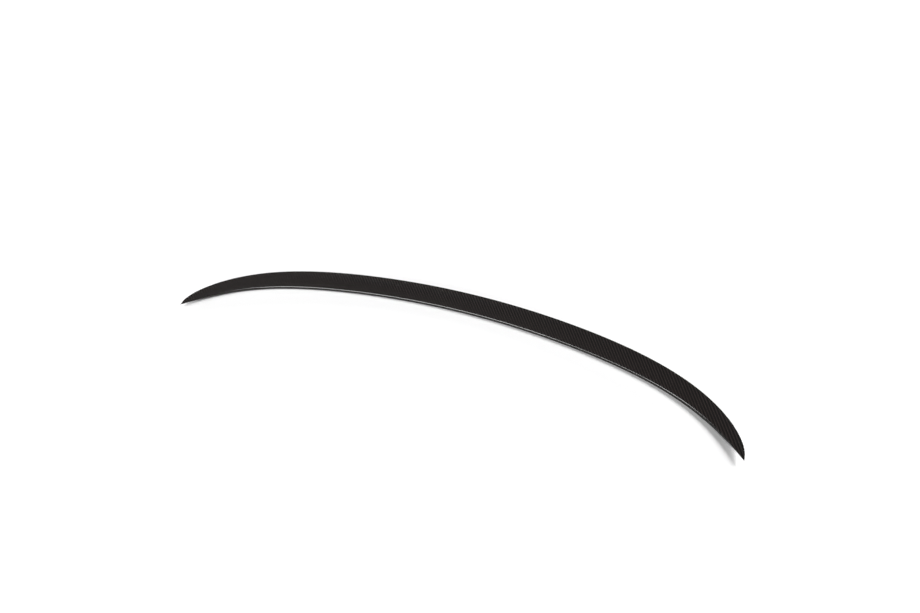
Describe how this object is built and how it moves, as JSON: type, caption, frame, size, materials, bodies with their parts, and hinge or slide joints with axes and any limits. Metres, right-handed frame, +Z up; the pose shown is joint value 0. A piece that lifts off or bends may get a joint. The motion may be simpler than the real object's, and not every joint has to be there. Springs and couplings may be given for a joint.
{
  "type": "car rear spoiler",
  "caption": "Slim carbon-fibre lip spoiler for a car's boot lid: a swept crescent blade with a raised rear lip and lifted tips, hollow underneath between two flat bonding lands.",
  "frame": {"origin": "under the middle of the part's box, on the plane of the two bonding lands", "axes": "+X along the span, +Y towards the rear of the car, +Z up, away from the boot lid"},
  "size_m": [1.2394, 0.2612, 0.012],
  "materials": {
    "carbon_laminate": "clear-coated twill weave of black carbon fibre"
  },
  "bodies": {
    "root": {"spoiler_blade": "carbon_laminate"}
  },
  "joints": []
}
